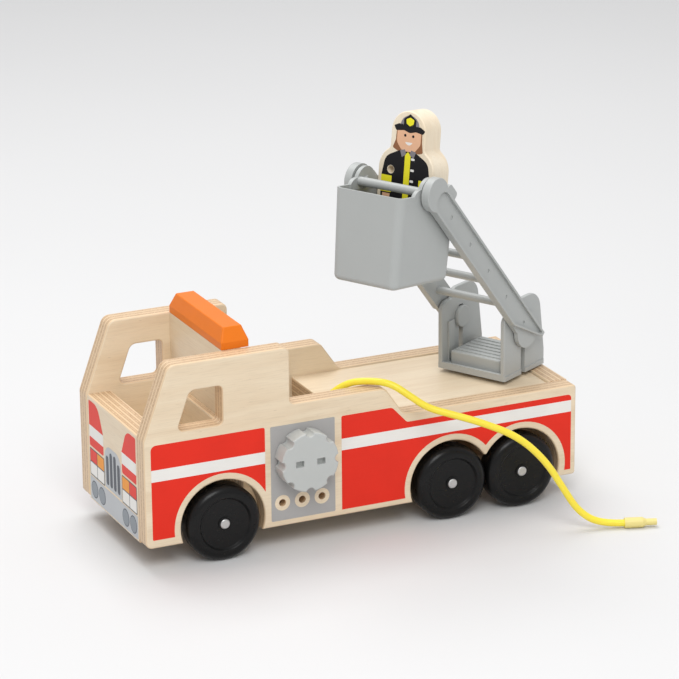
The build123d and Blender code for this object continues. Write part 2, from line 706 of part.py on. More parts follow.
# ---- bucket ----
RIM_HALF = 24.6
FLOOR_HALF = 23.2
RIM_FRONT = 29.2
RIM_REAR = 30.2
FLOOR_FRONT = 28.0
FLOOR_REAR = 29.2
CORNER = 5.0
FOOT_ROUND = 3.6
EAR_IN = 22.0
EAR_OUT = 24.5
EAR_RADIUS = 9.5
EAR_FOOT = 15.5
EAR_ROOT = -4.0
EAR_FLARE = 7.5
EAR_ARC = 20  # degrees above level at which the ear's round top meets its flares
GRAB_BAR_RADIUS = 2.75
GRAB_BAR_AT = (6.8, 1.2)


def bucket_walls(inset, floor_up):
    """The bucket's outline as a tapered solid, shrunk all round by an inset."""
    with BuildPart() as walls:
        levels = ((floor_up, FLOOR_FRONT, FLOOR_REAR, FLOOR_HALF), (RIM_UP, RIM_FRONT, RIM_REAR, RIM_HALF))
        for up, front, rear, half in levels:
            with BuildSketch(bucket_level(up)):
                with Locations(((front - rear) / 2, 0)):
                    RectangleRounded(front + rear - 2 * inset, 2 * (half - inset), CORNER - inset)
        loft()
        foot = walls.edges().group_by(Axis(bucket_pivot, bucket_up))[0]
        fillet(foot, FOOT_ROUND - inset)
    return walls


with BuildPart() as bucket:
    add(bucket_walls(0, -BUCKET_DEPTH).part)
    add(bucket_walls(WALL, WALL - BUCKET_DEPTH).part, mode=Mode.SUBTRACT)
    for ear_left in (EAR_OUT, -EAR_IN):
        with BuildSketch(bucket_side(ear_left)):
            with BuildLine():
                over_top = CenterArc((0, 0), EAR_RADIUS, EAR_ARC, 180 - 2 * EAR_ARC)
                flare_front = RadiusArc(over_top @ 0, (EAR_FOOT, RIM_UP), EAR_FLARE)
                flare_rear = RadiusArc((-EAR_FOOT, RIM_UP), over_top @ 1, EAR_FLARE)
                Polyline(flare_front @ 1, (EAR_FOOT, EAR_ROOT), (-EAR_FOOT, EAR_ROOT), flare_rear @ 0)
            make_face()
        extrude(amount=EAR_OUT - EAR_IN)
    with BuildSketch(bucket_side(EAR_OUT + 1)):
        Circle(PIN_RADIUS + RUNNING)
    extrude(amount=2 * (EAR_OUT + 1), mode=Mode.SUBTRACT)
finish(bucket, "bucket")

with BuildPart() as bucket_bar:
    with BuildSketch(bucket_side(EAR_IN)):
        with Locations(GRAB_BAR_AT):
            Circle(GRAB_BAR_RADIUS)
    extrude(amount=2 * EAR_IN)
finish(bucket_bar, "bucket_bar")

INNER_HEAD_RADIUS = 3.8
INNER_HEAD_THICK = 1.5
KNOB_RADIUS = 3.4  # the right pin's outer end, proud of the ladder's rail
KNOB_OUT = 4.5
KNOB_EASE = 0.6
with BuildPart() as bucket_pins:
    for side in (-1, 1):
        head_face = side * (EAR_IN - TURN_GAP)
        with BuildSketch(bucket_side(head_face)):
            Circle(INNER_HEAD_RADIUS)
        extrude(amount=side * INNER_HEAD_THICK)
        with BuildSketch(bucket_side(head_face)):
            Circle(PIN_RADIUS)
        extrude(amount=-side * (RAIL_IN + PIN_DEEP - abs(head_face)))
finish(bucket_pins, "bucket_pins")

with BuildPart() as bucket_pin_knob:
    with BuildSketch(bucket_side(-RAIL_OUT)):
        Circle(KNOB_RADIUS)
    extrude(amount=KNOB_OUT)
    fillet(bucket_pin_knob.edges(), KNOB_EASE)
finish(bucket_pin_knob, "bucket_pin_knob")

# ---- rider: a flat figure that stands in the rear of the bucket ----
RIDER_AT = -9.0  # its front face, ahead of the bucket's pivot
RIDER_HEAD_HALF = 12.4
RIDER_SHOULDERS_UP = 78.0
SHOULDER_ROUND = 14.0
NECK_ROUND = 3.0
NECK_FOOT = 10.0  # the head's straight sides run down inside the body to here
HEM_ROUND = 3.0
RIDER_EASE = 0.9
HAND_HOLE_RADIUS = 2.3
HAND_HOLE = (-10.9, 63.3)  # to the left of its middle, above its feet
FEET = WALL - BUCKET_DEPTH
head_centre = FEET + RIDER_TALL - RIDER_HEAD_HALF
neck_reach = RIDER_HEAD_HALF - RIDER_WIDE / 2 + SHOULDER_ROUND
neck_up = FEET + RIDER_SHOULDERS_UP - SHOULDER_ROUND + (SHOULDER_ROUND**2 - neck_reach**2) ** 0.5
with BuildPart() as rider:
    with BuildSketch(bucket_front(RIDER_AT)) as figure:
        with BuildLine():
            FilletPolyline(
                (-RIDER_WIDE / 2, FEET),
                (-RIDER_WIDE / 2, FEET + RIDER_SHOULDERS_UP),
                (RIDER_WIDE / 2, FEET + RIDER_SHOULDERS_UP),
                (RIDER_WIDE / 2, FEET),
                radius=[HEM_ROUND, SHOULDER_ROUND, SHOULDER_ROUND, HEM_ROUND],
                close=True,
            )
        make_face()
        with Locations((0, head_centre)):
            Circle(RIDER_HEAD_HALF)
        with Locations((0, (head_centre + FEET + NECK_FOOT) / 2)):
            Rectangle(2 * RIDER_HEAD_HALF, head_centre - FEET - NECK_FOOT)
        for neck_side in (-1, 1):
            neck_corner = (neck_side * RIDER_HEAD_HALF, neck_up)
            fillet(figure.vertices().sort_by_distance(neck_corner)[0], NECK_ROUND)
    extrude(amount=-RIDER_THICK)
    broad_faces = rider.faces().filter_by(lambda face: abs(face.normal_at().dot(bucket_forward)) > 0.99)
    fillet(broad_faces.edges(), RIDER_EASE)
    with BuildSketch(bucket_front(RIDER_AT)):
        with Locations((HAND_HOLE[0], FEET + HAND_HOLE[1])):
            Circle(HAND_HOLE_RADIUS)
    extrude(amount=-RIDER_THICK, mode=Mode.SUBTRACT)
finish(rider, "rider")

# ---- hose: off the reel, over the left wall of the well and down to the floor ----
HOSE_ROUTE = [
    (103, 28, 73.3),
    (119, 28.5, 77),
    (129.5, 30.5, 89),
    (140, 36, 99.5),
    (152, 45, 103),
    (163, 55.5, 100),
    (175, 64.5, 90),
    (191, 73, 78.5),
    (211, 82.5, 69.5),
    (230, 91, 60),
    (245, 97.5, 46),
    (255, 102, 28),
    (264, 105.5, 12),
    (277, 110.5, 3.3),
    (291, 115.5, 3.3),
]
ARC_SHARE = 0.45  # of the shorter run at each corner


def bend_radii(route):
    """The radius at each corner: as large as its two runs allow."""
    radii = []
    for before, corner, after in zip(route, route[1:], route[2:]):
        run_in = corner - before
        run_out = after - corner
        half_turn = radians(run_in.get_angle(run_out) / 2)
        radii.append(ARC_SHARE * min(run_in.length, run_out.length) / tan(half_turn))
    return radii


hose_points = [place(*point) for point in HOSE_ROUTE]
hose_radii = bend_radii(hose_points)
print("hose radii", [round(radius, 1) for radius in hose_radii])
with BuildPart() as hose:
    with BuildLine() as hose_path:
        FilletPolyline(*hose_points, radius=hose_radii)
    hose_wire = hose_path.wires()[0]
    with BuildSketch(Plane(origin=hose_wire @ 0, z_dir=hose_wire % 0)):
        Circle(HOSE_RADIUS)
    sweep(path=hose_wire)
print("hose length", round(hose_wire.length, 1), "volume", round(hose.part.volume, 1))
print("section times length", round(pi * HOSE_RADIUS**2 * hose_wire.length, 1))
finish(hose, "hose")

# ---- nozzle: a turned piece on the hose's end, lying on the floor ----
NOZZLE_RADIUS = 3.3
NOZZLE_BODY = 11.0
NOZZLE_LONG = 20.0
NOZZLE_TIP_RADIUS = 2.1
NOZZLE_BORE = 1.2
NOZZLE_TAPER = 2.5
NOZZLE_BORE_DEEP = 6.0
nozzle_line = hose_wire % 1
with BuildPart() as nozzle:
    with BuildSketch(Plane(origin=hose_wire @ 1, x_dir=(0, 0, 1), z_dir=Vector(0, 0, 1).cross(nozzle_line))):
        with BuildLine():
            Polyline(
                (0, 0),
                (NOZZLE_RADIUS, 0),
                (NOZZLE_RADIUS, NOZZLE_BODY),
                (NOZZLE_TIP_RADIUS, NOZZLE_BODY + NOZZLE_TAPER),
                (NOZZLE_TIP_RADIUS, NOZZLE_LONG),
                (NOZZLE_BORE, NOZZLE_LONG),
                (NOZZLE_BORE, NOZZLE_LONG - NOZZLE_BORE_DEEP),
                (0, NOZZLE_LONG - NOZZLE_BORE_DEEP),
                close=True,
            )
        make_face()
    revolve(axis=Axis(hose_wire @ 1, nozzle_line))
finish(nozzle, "nozzle")
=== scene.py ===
import json
from math import asin, atan2, cos, degrees, pi, radians, sin, sqrt

import bmesh
import bpy
from mathutils import Matrix, Vector


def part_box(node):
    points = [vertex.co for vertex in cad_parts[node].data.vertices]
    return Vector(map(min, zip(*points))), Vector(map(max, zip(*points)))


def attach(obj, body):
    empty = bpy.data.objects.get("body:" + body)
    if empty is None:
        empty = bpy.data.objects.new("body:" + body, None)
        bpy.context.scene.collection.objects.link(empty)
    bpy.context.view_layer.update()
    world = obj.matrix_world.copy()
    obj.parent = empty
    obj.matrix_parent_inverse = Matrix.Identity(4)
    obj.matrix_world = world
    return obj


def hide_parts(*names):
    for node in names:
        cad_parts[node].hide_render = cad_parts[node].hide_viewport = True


# The looks of a wooden toy fire engine. Lengths are metres, and MM turns millimetres into them.
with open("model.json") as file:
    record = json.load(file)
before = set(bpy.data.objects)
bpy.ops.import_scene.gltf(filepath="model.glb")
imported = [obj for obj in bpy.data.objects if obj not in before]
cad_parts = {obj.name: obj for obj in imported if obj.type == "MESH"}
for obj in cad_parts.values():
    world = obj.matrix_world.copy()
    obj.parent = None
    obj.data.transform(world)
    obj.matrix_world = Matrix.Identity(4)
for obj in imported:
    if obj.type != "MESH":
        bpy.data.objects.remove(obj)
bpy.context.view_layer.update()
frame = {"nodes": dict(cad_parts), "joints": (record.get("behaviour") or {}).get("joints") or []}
nodes = frame["nodes"]
joints = {joint["name"]: joint for joint in frame["joints"]}
MM = 0.001

left_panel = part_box("left_side_panel")
right_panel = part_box("right_side_panel")
NOSE_X = left_panel[1].x
LEFT_FACE = left_panel[1].y
RIGHT_FACE = right_panel[0].y
MIDDLE_Y = (LEFT_FACE + RIGHT_FACE) / 2
X, Y, Z = Vector((1, 0, 0)), Vector((0, 1, 0)), Vector((0, 0, 1))


def place(back, left, height):
    """A point given back from the nose, left of the centre line and above the floor."""
    return Vector((NOSE_X - back, MIDDLE_Y + left, height))


def plane(origin, across, up, outwards):
    """Matrix of a plane whose local x, y and z are the three given directions."""
    turned = Matrix((across, up, outwards)).transposed().to_4x4()
    return Matrix.Translation(origin) @ turned


# ---- camera ----
CAMERA_AZIMUTH = radians(24.69)  # from straight left towards the nose
CAMERA_ELEVATION = radians(18.68)
CAMERA_DISTANCE = 2.082
CAMERA_ROLL = radians(-0.53)
CAMERA_LENS = 178.5
AIM = place(0.1524, 0.0, 0.10815)


def make_camera():
    """The camera, standing off to the engine's left and a little ahead of it."""
    towards = Vector((
        cos(CAMERA_ELEVATION) * sin(CAMERA_AZIMUTH),
        cos(CAMERA_ELEVATION) * cos(CAMERA_AZIMUTH),
        sin(CAMERA_ELEVATION),
    ))
    lens = bpy.data.cameras.new("camera")
    lens.lens = CAMERA_LENS
    camera = bpy.data.objects.new("camera", lens)
    bpy.context.scene.collection.objects.link(camera)
    aimed = towards.to_track_quat("Z", "Y").to_matrix().to_4x4()
    rolled = aimed @ Matrix.Rotation(CAMERA_ROLL, 4, "Z")
    camera.matrix_world = Matrix.Translation(AIM + towards * CAMERA_DISTANCE) @ rolled
    bpy.context.scene.camera = camera


make_camera()


# ---- material building ----
ALONG_X, ALONG_Y, ALONG_Z = 0, 1, 2  # the frame's axes, by number
LACQUER_ROUGHNESS = 0.42
LACQUER = {"Coat_Weight": 0.12, "Coat_Roughness": 0.3}
WOOD_RELIEF = (0.25, 0.06 * MM)  # strength and depth of the bump
PLASTIC_RELIEF = 0.05 * MM
PRINT_RELIEF = 0.05 * MM
STEEL_RELIEF = 0.03 * MM


def make(tree, kind, inputs=None, **settings):
    """Add a shader node, set its properties, and feed its inputs from values or sockets."""
    made = tree.nodes.new(kind)
    for key, value in settings.items():
        setattr(made, key, value)
    for key, value in (inputs or {}).items():
        if isinstance(value, bpy.types.NodeSocket):
            tree.links.new(value, made.inputs[key])
        else:
            made.inputs[key].default_value = value
    return made


def math_node(tree, operation, first, second=0.0, third=0.0):
    """One arithmetic step between sockets or values."""
    return make(tree, "ShaderNodeMath", {0: first, 1: second, 2: third}, operation=operation).outputs[0]


def blend_colours(tree, share, first, second):
    """Mix two colours by a share from 0 to 1."""
    mixed = make(tree, "ShaderNodeMix", {"Factor": share}, data_type="RGBA")
    for socket, value in ((mixed.inputs[6], first), (mixed.inputs[7], second)):
        if isinstance(value, bpy.types.NodeSocket):
            tree.links.new(value, socket)
        else:
            socket.default_value = (*value, 1)
    return mixed.outputs[2]


def stretched_noise(tree, scales, detail=4.0, roughness=0.55, distortion=0.0):
    """Noise over the object's own coordinates, with a scale for each axis."""
    spot = make(tree, "ShaderNodeTexCoord").outputs["Object"]
    mapped = make(tree, "ShaderNodeMapping", {"Vector": spot, "Scale": scales}).outputs[0]
    settings = {
        "Vector": mapped, "Scale": 1.0, "Detail": detail,
        "Roughness": roughness, "Distortion": distortion,
    }
    return make(tree, "ShaderNodeTexNoise", settings).outputs["Fac"]


def spread(tree, value, low, high):
    """Stretch a value between two limits to run from 0 to 1."""
    settings = {"Value": value, "From Min": low, "From Max": high}
    return make(tree, "ShaderNodeMapRange", settings, interpolation_type="SMOOTHSTEP").outputs[0]


def start_material(name, roughness, **constants):
    """A new material's tree and shader, with its constant values set on the shader's own sockets."""
    material = bpy.data.materials.new(name)
    material.use_nodes = True
    tree = material.node_tree
    shader = tree.nodes["Principled BSDF"]
    shader.inputs["Roughness"].default_value = roughness
    for key, value in constants.items():
        shader.inputs[key.replace("_", " ")].default_value = value
    return material, tree, shader


def add_bump(tree, shader, height, strength, distance):
    """Drive the shader's normal from a height."""
    settings = {"Height": height, "Strength": strength, "Distance": distance}
    bump = make(tree, "ShaderNodeBump", settings)
    tree.links.new(bump.outputs[0], shader.inputs["Normal"])


def axis_scales(along, along_scale, across_scale):
    """Scales for a pattern drawn out along one axis."""
    return tuple(along_scale if axis == along else across_scale for axis in range(3))


def wood_grain(tree, along, light, dark):
    """Colour and height of lacquered pale wood whose grain runs along one axis."""
    figure = stretched_noise(tree, axis_scales(along, 9, 90), 5.0, 0.6, 0.6)
    fibres = stretched_noise(tree, axis_scales(along, 60, 1500), 3.0, 0.7)
    flecks = stretched_noise(tree, axis_scales(along, 160, 1100), 2.0, 0.5)
    colour = blend_colours(tree, spread(tree, figure, 0.32, 0.72), light, dark)
    fine = math_node(tree, "MULTIPLY", spread(tree, fibres, 0.45, 0.75), 0.35)
    colour = blend_colours(tree, fine, colour, [value * 0.78 for value in dark])
    fleck = math_node(tree, "MULTIPLY", spread(tree, flecks, 0.68, 0.78), 0.4)
    colour = blend_colours(tree, fleck, colour, [value * 0.62 for value in dark])
    return colour, fibres


PLY_LIGHT = (0.80, 0.67, 0.49)
PLY_DARK = (0.73, 0.58, 0.40)
END_LIGHT = (0.74, 0.55, 0.35)
END_DARK = (0.50, 0.31, 0.165)
GLUE = (0.26, 0.145, 0.07)
LAYER = 1.83 * MM
LAYER_WANDER = 0.25 * MM
GLUE_LIMITS = (0.02, 0.13)  # where a glue line fades, as a share of a layer
GLUE_SHADE = 0.75
GLUE_SINK = -0.5
VENEER_LIMITS = (0.62, 0.9)  # how squarely a face has to lie for it to show veneer


def plywood(node_name, thin, grain):
    """Birch plywood: face veneer on the broad sides, and the layers' edges on the narrow ones."""
    material, tree, shader = start_material(f"plywood_{node_name}", LACQUER_ROUGHNESS, **LACQUER)
    face, fibres = wood_grain(tree, grain, PLY_LIGHT, PLY_DARK)
    coordinates = make(tree, "ShaderNodeTexCoord")
    spot = make(tree, "ShaderNodeSeparateXYZ", {0: coordinates.outputs["Object"]})
    normal = make(tree, "ShaderNodeSeparateXYZ", {0: coordinates.outputs["Normal"]})
    low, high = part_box(node_name)
    layers = max(3, round((high[thin] - low[thin]) / LAYER))
    pitch = (high[thin] - low[thin]) / layers
    wander = stretched_noise(tree, (40, 40, 40), 2.0)
    depth = math_node(tree, "SUBTRACT", spot.outputs[thin], low[thin])
    depth = math_node(tree, "ADD", depth, math_node(tree, "MULTIPLY", wander, LAYER_WANDER))
    count = math_node(tree, "DIVIDE", depth, pitch)
    near_glue = math_node(tree, "PINGPONG", count, 0.5)
    glue = math_node(tree, "SUBTRACT", 1.0, spread(tree, near_glue, *GLUE_LIMITS))
    turn = math_node(tree, "PINGPONG", math_node(tree, "FLOOR", count), 1.0)
    rough = stretched_noise(tree, (900, 900, 900), 3.0, 0.7)
    end_share = math_node(tree, "MULTIPLY", turn, spread(tree, rough, 0.25, 0.7))
    edge = blend_colours(tree, end_share, END_LIGHT, END_DARK)
    edge = blend_colours(tree, math_node(tree, "MULTIPLY", glue, GLUE_SHADE), edge, GLUE)
    facing = spread(tree, math_node(tree, "ABSOLUTE", normal.outputs[thin]), *VENEER_LIMITS)
    tree.links.new(blend_colours(tree, facing, edge, face), shader.inputs["Base Color"])
    height = math_node(tree, "ADD", fibres, math_node(tree, "MULTIPLY", glue, GLUE_SINK))
    add_bump(tree, shader, height, *WOOD_RELIEF)
    return material


def solid_wood(name, light, dark, along):
    """Solid lacquered wood, with its grain along one axis."""
    material, tree, shader = start_material(name, LACQUER_ROUGHNESS, **LACQUER)
    colour, fibres = wood_grain(tree, along, light, dark)
    tree.links.new(colour, shader.inputs["Base Color"])
    add_bump(tree, shader, fibres, *WOOD_RELIEF)
    return material


def moulded(name, base, roughness, texture, mottle=0.08, **constants):
    """Moulded plastic: faint mottling, a fine surface texture and small scuffs."""
    material, tree, shader = start_material(name, roughness, **constants)
    clouds = stretched_noise(tree, (35, 35, 35), 4.0)
    grain = stretched_noise(tree, (2600, 2600, 2600), 2.0)
    scuffs = stretched_noise(tree, (120, 900, 420), 4.0, 0.7, 1.5)
    dark = [value * (1 - mottle) for value in base]
    light = [value * (1 + mottle) for value in base]
    colour = blend_colours(tree, clouds, dark, light)
    scuffed = math_node(tree, "MULTIPLY", spread(tree, scuffs, 0.66, 0.8), 0.25)
    colour = blend_colours(tree, scuffed, colour, [min(1, value * 1.3 + 0.003) for value in base])
    tree.links.new(colour, shader.inputs["Base Color"])
    sheen = math_node(tree, "MULTIPLY_ADD", scuffs, 0.22, roughness - 0.11)
    tree.links.new(sheen, shader.inputs["Roughness"])
    add_bump(tree, shader, math_node(tree, "ADD", grain, scuffs), texture, PLASTIC_RELIEF)
    return material


def painted(name, base, along, roughness=0.38, show_grain=0.35):
    """Paint printed on wood: the grain telegraphs through, and the colour thins a little in places."""
    material, tree, shader = start_material(name, roughness, Specular_IOR_Level=0.2)
    fibres = stretched_noise(tree, axis_scales(along, 60, 1500), 3.0, 0.7)
    clouds = stretched_noise(tree, (45, 45, 45), 3.0)
    worn = stretched_noise(tree, (700, 700, 700), 4.0, 0.75)
    deep = [value * 0.86 for value in base]
    colour = blend_colours(tree, clouds, deep, base)
    thin = math_node(tree, "MULTIPLY", spread(tree, fibres, 0.5, 0.8), 0.16)
    colour = blend_colours(tree, thin, colour, [value * 0.7 for value in base])
    specks = math_node(tree, "MULTIPLY", spread(tree, worn, 0.74, 0.8), 0.25)
    colour = blend_colours(tree, specks, colour, [min(1, 0.6 * value + 0.3) for value in base])
    tree.links.new(colour, shader.inputs["Base Color"])
    add_bump(tree, shader, fibres, show_grain, PRINT_RELIEF)
    return material


def steel(name):
    """Cut steel rod: fine turned lines and a dull sheen."""
    material, tree, shader = start_material(name, 0.35, Metallic=1.0)
    lines = stretched_noise(tree, (3000, 120, 3000), 3.0, 0.6)
    tone = blend_colours(tree, lines, (0.42, 0.42, 0.42), (0.72, 0.71, 0.70))
    tree.links.new(tone, shader.inputs["Base Color"])
    tree.links.new(math_node(tree, "MULTIPLY_ADD", lines, 0.3, 0.22), shader.inputs["Roughness"])
    add_bump(tree, shader, lines, 0.2, STEEL_RELIEF)
    return material


RED = (0.80, 0.028, 0.012)
WHITE = (0.86, 0.84, 0.80)
PRINT_GREY = (0.42, 0.41, 0.40)
paints = {
    "red": painted("red_print", RED, ALONG_X),
    "white": painted("white_print", WHITE, ALONG_X),
    "grey": painted("grey_print", PRINT_GREY, ALONG_X),
    "light_grey": painted("light_grey_print", (0.52, 0.54, 0.56), ALONG_Y),
    "mid_grey": painted("mid_grey_print", (0.27, 0.30, 0.33), ALONG_Y),
    "dark": painted("dark_print", (0.012, 0.011, 0.013), ALONG_Z),
    "slate": painted("slate_print", (0.08, 0.09, 0.11), ALONG_Y),
    "amber": painted("amber_print", (0.90, 0.33, 0.02), ALONG_Y),
    "yellow": painted("yellow_print", (0.88, 0.80, 0.03), ALONG_Z),
    "skin": painted("skin_print", (0.82, 0.48, 0.30), ALONG_Z),
    "hair": painted("hair_print", (0.30, 0.13, 0.06), ALONG_Z),
    "helmet_grey": painted("helmet_grey_print", (0.24, 0.22, 0.24), ALONG_Z),
}
maple = solid_wood("maple", (0.86, 0.76, 0.60), (0.80, 0.67, 0.49), ALONG_Z)
beech = solid_wood("beech_blocks", (0.66, 0.46, 0.29), (0.54, 0.35, 0.21), ALONG_Y)
orange = painted("orange_bar", (0.84, 0.20, 0.012), ALONG_Y, roughness=0.34, show_grain=0.3)
grey_plastic = moulded("grey_plastic", (0.40, 0.415, 0.405), 0.42, 0.16, 0.04)
light_plastic = moulded("light_grey_plastic", (0.48, 0.495, 0.48), 0.42, 0.16, 0.04)
black_plastic = moulded(
    "black_plastic", (0.004, 0.004, 0.004), 0.3, 0.04, 0.2, Specular_IOR_Level=0.25,
)
vinyl = moulded(
    "hose_vinyl", (0.90, 0.74, 0.05), 0.34, 0.1, 0.05,
    Subsurface_Weight=0.12, Subsurface_Scale=0.002,
)
nozzle_plastic = moulded("nozzle_plastic", (0.80, 0.68, 0.25), 0.36, 0.12, 0.05)
rod_steel = steel("rod_steel")
ACROSS_THE_BODY = (ALONG_X, ALONG_Y)
PLYWOOD = {  # the thin axis, then the axis of the face grain
    "left_side_panel": (ALONG_Y, ALONG_X),
    "right_side_panel": (ALONG_Y, ALONG_X),
    "front_board": ACROSS_THE_BODY,
    "cab_floor": (ALONG_Z, ALONG_Y),
    "cab_partition": ACROSS_THE_BODY,
    "cab_back_board": ACROSS_THE_BODY,
    "deck_board": (ALONG_Z, ALONG_X),
    "tail_board": ACROSS_THE_BODY,
    "floor_board": (ALONG_Z, ALONG_X),
}
NODE_MATERIALS = {
    "panel_dowels": beech, "rider": maple, "front_axle_block": beech, "rear_axle_block": beech,
    "light_bar": orange, "crank_gear": light_plastic, "nozzle": nozzle_plastic,
    "turret_bolt": rod_steel, "turret_nut": rod_steel,
}


def dress(node_name, material):
    """Give a CAD node its material."""
    slots = nodes[node_name].data.materials
    slots.clear()
    slots.append(material)


for node_name in nodes:
    if node_name in PLYWOOD:
        thin, grain = PLYWOOD[node_name]
        dress(node_name, plywood(node_name, thin, grain))
    elif node_name in NODE_MATERIALS:
        dress(node_name, NODE_MATERIALS[node_name])
    elif node_name.endswith("_wheel"):
        dress(node_name, black_plastic)
    elif node_name.endswith("_axle"):
        dress(node_name, rod_steel)
    else:
        dress(node_name, grey_plastic)

# ---- printed skins ----
SKIN = 0.08  # thickness of a print, in millimetres
FIRST_LIFT, LAYER_LIFT = 0.55, 0.6  # height of the first print, and of each over it, in thicknesses
WELD = 1e-7  # metres within which points are joined


def arc(centre, radius, start, end, steps=24):
    """Points along an arc, in a plane's own millimetres, between two angles in degrees."""
    turns = [radians(start + (end - start) * step / steps) for step in range(steps + 1)]
    return [(centre[0] + radius * cos(turn), centre[1] + radius * sin(turn)) for turn in turns]


def rounded(points, radii):
    """A closed outline with each corner rounded by its own radius."""
    outline = []
    count = len(points)
    for index, radius in enumerate(radii):
        corner = Vector(points[index])
        before = Vector(points[index - 1]) - corner
        after = (Vector(points[(index + 1) % count]) - corner)
        if radius <= 0:
            outline.append(tuple(corner))
            continue
        half = before.angle(after) / 2
        reach = radius / (sin(half) / cos(half))
        bisector = (before.normalized() + after.normalized()).normalized()
        centre = corner + bisector * (radius / sin(half))
        first = corner + before.normalized() * reach - centre
        last = corner + after.normalized() * reach - centre
        start = atan2(first.y, first.x)
        sweep = (atan2(last.y, last.x) - start + pi) % (2 * pi) - pi
        outline += arc(centre, radius, degrees(start), degrees(start + sweep), 8)
    return outline


def box_outline(left, right, bottom, top, radius=0.0):
    """A rectangle with rounded corners."""
    return rounded([(left, bottom), (right, bottom), (right, top), (left, top)], [radius] * 4)


def disc(centre, radius):
    """A full circle."""
    return arc(centre, radius, 0, 352.5, 47)


def skin(name, loops, where, paint, body, layer=0):
    """A thin printed shape: filled outlines, in millimetres, laid on a plane of the model."""
    outline = bpy.data.curves.new(name, "CURVE")
    outline.dimensions = "2D"
    outline.fill_mode = "BOTH"
    outline.extrude = SKIN * MM / 2
    for loop in loops:
        spline = outline.splines.new("POLY")
        spline.points.add(len(loop) - 1)
        for point, (across, up) in zip(spline.points, loop):
            point.co = (across * MM, up * MM, 0, 1)
        spline.use_cyclic_u = True
    drawn = bpy.data.objects.new(name, outline)
    mesh = bpy.data.meshes.new_from_object(drawn)
    bpy.data.objects.remove(drawn)
    lift = SKIN * MM * (FIRST_LIFT + LAYER_LIFT * layer)
    mesh.transform(where @ Matrix.Translation((0, 0, lift)))
    shell = bmesh.new()
    shell.from_mesh(mesh)
    bmesh.ops.remove_doubles(shell, verts=shell.verts, dist=WELD)
    bmesh.ops.recalc_face_normals(shell, faces=shell.faces)
    shell.to_mesh(mesh)
    shell.free()
    mesh.name = name
    mesh.materials.clear()
    mesh.materials.append(paints[paint])
    piece = bpy.data.objects.new(name, mesh)
    bpy.context.scene.collection.objects.link(piece)
    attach(piece, body)


# ---- prints on the side panels, in millimetres back from the nose and above the floor ----
AXLE_UP = 23.75
FRONT_AXLE, MIDDLE_AXLE, REAR_AXLE = 49.9, 202.5, 250.9
STRIPE_LOW, STRIPE_HIGH = 57.0, 64.5
BORDER = 31.7  # radius of the bare wood round a wheel arch
ARCHES_MEET = 226.7
FIELD_FOOT = 18.5
FRONT_START, FRONT_END, FRONT_FOOT, FRONT_TOP = 4.2, 77.8, 20, 80
PUMP_START, PUMP_END, PUMP_TOP = 81.4, 123.9, 79.5
REAR_START, REAR_END, REAR_TOP, REAR_STEP = 128.4, 286.5, 79.2, 68.3
STEP_START, STEP_END = 162.5, 172.5
CORNER_CUT = 0.5
PORT_UP, PORT_RING = 29.8, 5.0
PORTS = (88.8, 101.9, 115.0)


def angle_at_back(axle, back):
    """Angle, seen from an axle, at which its border circle passes a distance back, on its upper half."""
    reach = back - axle
    return degrees(atan2(sqrt(BORDER**2 - reach**2), reach))


def angle_at_height(height, before):
    """Angle at which a border circle passes a height, ahead of or behind its axle."""
    rise = degrees(asin((height - AXLE_UP) / BORDER))
    return 180 - rise if before else rise


def side_prints(side, where):
    """Red fields, white stripe and grey pump panel of one side."""
    def on_side(name, loops, paint):
        skin(f"{side}_{name}", loops, where, paint, "root")

    arch = arc(
        (FRONT_AXLE, AXLE_UP), BORDER,
        angle_at_height(FRONT_FOOT, True), angle_at_back(FRONT_AXLE, FRONT_END),
    )
    low = [(FRONT_START, FRONT_FOOT + CORNER_CUT), (FRONT_START + CORNER_CUT, FRONT_FOOT)] + arch
    low += [(FRONT_END, STRIPE_LOW), (FRONT_START, STRIPE_LOW)]
    on_side("front_red_low", [low], "red")
    top = [
        (FRONT_START, STRIPE_HIGH), (FRONT_END, STRIPE_HIGH),
        (FRONT_END, FRONT_TOP), (FRONT_START, FRONT_TOP),
    ]
    on_side("front_red_top", [rounded(top, [0, 0, 1.2, 3.5])], "red")
    on_side("front_stripe", [box_outline(FRONT_START, FRONT_END, STRIPE_LOW, STRIPE_HIGH)], "white")
    pump = box_outline(PUMP_START, PUMP_END, FIELD_FOOT, PUMP_TOP, 0.8)
    on_side("pump_panel", [pump] + [disc((back, PORT_UP), PORT_RING) for back in PORTS], "grey")
    middle = arc(
        (MIDDLE_AXLE, AXLE_UP), BORDER,
        angle_at_height(FIELD_FOOT, True), angle_at_back(MIDDLE_AXLE, ARCHES_MEET),
    )
    rear = arc(
        (REAR_AXLE, AXLE_UP), BORDER,
        angle_at_back(REAR_AXLE, ARCHES_MEET), angle_at_height(FIELD_FOOT, False),
    )
    low = [(REAR_START, FIELD_FOOT)] + middle + rear[1:]
    low += [(REAR_END, FIELD_FOOT), (REAR_END, STRIPE_LOW), (REAR_START, STRIPE_LOW)]
    on_side("rear_red_low", [low], "red")
    on_side("rear_stripe", [box_outline(REAR_START, REAR_END, STRIPE_LOW, STRIPE_HIGH)], "white")
    top = [
        (REAR_START, STRIPE_HIGH), (REAR_END, STRIPE_HIGH), (REAR_END, REAR_STEP),
        (STEP_END, REAR_STEP), (STEP_START, REAR_TOP), (REAR_START, REAR_TOP),
    ]
    on_side("rear_red_top", [rounded(top, [0, 0, 2.5, 3, 4, 1.2])], "red")


side_prints("left", plane(Vector((NOSE_X, LEFT_FACE, 0)), -X, Z, Y))
side_prints("right", plane(Vector((NOSE_X, RIGHT_FACE, 0)), -X, Z, -Y))

# ---- prints on the front board: grille, lamps, fins and bumper ----
front_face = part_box("front_board")[1].x
FRONT = plane(Vector((front_face, MIDDLE_Y, 0)), Y, Z, X)


